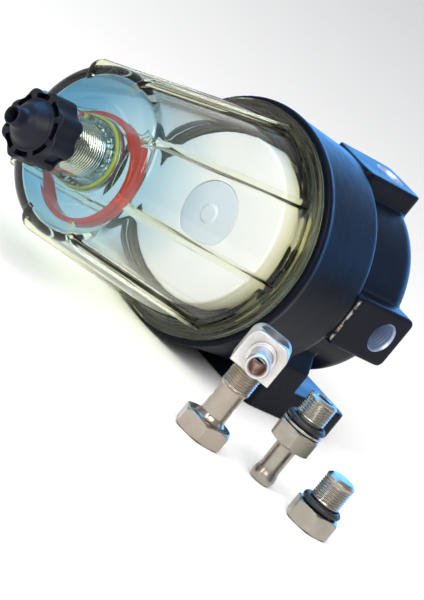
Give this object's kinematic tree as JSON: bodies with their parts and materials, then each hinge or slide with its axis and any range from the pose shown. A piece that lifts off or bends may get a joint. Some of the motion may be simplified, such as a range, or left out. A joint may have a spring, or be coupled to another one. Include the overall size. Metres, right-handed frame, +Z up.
{
  "type": "magnetic system filter",
  "caption": "Clear-bowl filter with a threaded-port head, mounting foot, strainer cartridge on a magnet core, drain knob, and loose pipe fittings standing beside it.",
  "frame": {"origin": "middle of the mounting foot's underside", "axes": "+Y along the filter's axis from the drain towards the head's closed end, +Z up from the foot, +X towards the port beside the loose fittings"},
  "size_m": [0.2255, 0.257, 0.117],
  "materials": {
    "black_paint": "satin black stoved paint on cast aluminium",
    "clear_plastic": "clear moulded plastic, slightly olive at the edges",
    "black_plastic": "satin black moulded",
    "white_plastic": "white moulded",
    "hub_plastic": "pale blue-white moulded",
    "red_plastic": "glossy red",
    "black_rubber": "black nitrile",
    "yellow_rubber": "yellow sealing ring",
    "nickel_plate": "satin nickel plate on turned brass",
    "stainless_steel": "plain",
    "brass": "turned",
    "copper_bore_nickel": "nickel outside, copper-coloured bore",
    "magnet_ferrite": "ground sintered magnet"
  },
  "bodies": {
    "head": {"head_casting": "black_paint", "magnet_rod": "stainless_steel", "magnet_sleeve": "stainless_steel", "sleeve_cap": "black_plastic", "ring_magnet_1": "magnet_ferrite", "ring_magnet_2": "magnet_ferrite", "ring_magnet_3": "magnet_ferrite", "ring_magnet_4": "magnet_ferrite", "ring_magnet_5": "magnet_ferrite", "pole_disc_1": "stainless_steel", "pole_disc_2": "stainless_steel", "pole_disc_3": "stainless_steel", "pole_disc_4": "stainless_steel", "pole_disc_5": "stainless_steel", "pole_disc_6": "stainless_steel", "banjo_bolt": "nickel_plate", "adapter_body": "nickel_plate", "adapter_washer": "stainless_steel", "adapter_o_ring": "black_rubber", "plug_body": "nickel_plate", "plug_o_ring": "black_rubber"},
    "bowl_seal": {"bowl_o_ring": "black_rubber"},
    "bowl": {"bowl": "clear_plastic", "insert_seal": "yellow_rubber", "drain_insert": "nickel_plate"},
    "float": {"float_ring": "red_plastic"},
    "drain_seal": {"stem_o_ring": "black_rubber"},
    "drain": {"drain_knob": "black_plastic", "drain_stem": "brass"},
    "cartridge": {"cartridge_cage": "white_plastic", "strainer_mesh": "stainless_steel", "cartridge_seal": "black_rubber"},
    "cartridge_nut": {"cartridge_nut": "hub_plastic"},
    "vent_seal": {"vent_seal": "black_rubber"},
    "vent": {"vent_screw": "brass"},
    "banjo": {"banjo_block": "nickel_plate", "banjo_hose_tail": "copper_bore_nickel"}
  },
  "joints": [
    {"name": "bowl_lower", "type": "slide", "parent": "head", "child": "bowl_seal", "axis": [0, -1, 0], "range_m": [0, 0.012]},
    {"name": "bowl_turn", "type": "hinge", "parent": "bowl_seal", "child": "bowl", "pos_m": [0, -0.0725, 0.0585], "axis": [0, -1, 0], "range_deg": [0, 1440]},
    {"name": "float_slide", "type": "slide", "parent": "bowl", "child": "float", "axis": [0, 1, 0], "range_m": [0, 0.045]},
    {"name": "drain_lower", "type": "slide", "parent": "bowl", "child": "drain_seal", "axis": [0, -1, 0], "range_m": [0, 0.006]},
    {"name": "drain_turn", "type": "hinge", "parent": "drain_seal", "child": "drain", "pos_m": [0, -0.2025, 0.0585], "axis": [0, -1, 0], "range_deg": [0, 1080]},
    {"name": "cartridge_lower", "type": "slide", "parent": "head", "child": "cartridge", "axis": [0, -1, 0], "range_m": [0, 0.004]},
    {"name": "cartridge_nut_turn", "type": "hinge", "parent": "cartridge", "child": "cartridge_nut", "pos_m": [0, -0.0805, 0.0585], "axis": [0, -1, 0], "range_deg": [0, 1440]},
    {"name": "vent_lift", "type": "slide", "parent": "head", "child": "vent_seal", "axis": [0, 1, 0], "range_m": [0, 0.004]},
    {"name": "vent_turn", "type": "hinge", "parent": "vent_seal", "child": "vent", "pos_m": [0, 0.0195, 0.0825], "axis": [0, 1, 0], "range_deg": [0, 960]},
    {"name": "banjo_swivel", "type": "hinge", "parent": "head", "child": "banjo", "pos_m": [0.107, -0.126, 0.0455], "axis": [0, 0, 1], "range_deg": [-220, 75]}
  ],
  "couplings": [
    {"joint": "bowl_lower", "follows": "bowl_turn", "m_per_rad": 0.00047746},
    {"joint": "drain_lower", "follows": "drain_turn", "m_per_rad": 0.00031831},
    {"joint": "cartridge_lower", "follows": "cartridge_nut_turn", "m_per_rad": 0.00015915},
    {"joint": "vent_lift", "follows": "vent_turn", "m_per_rad": 0.00023873}
  ]
}
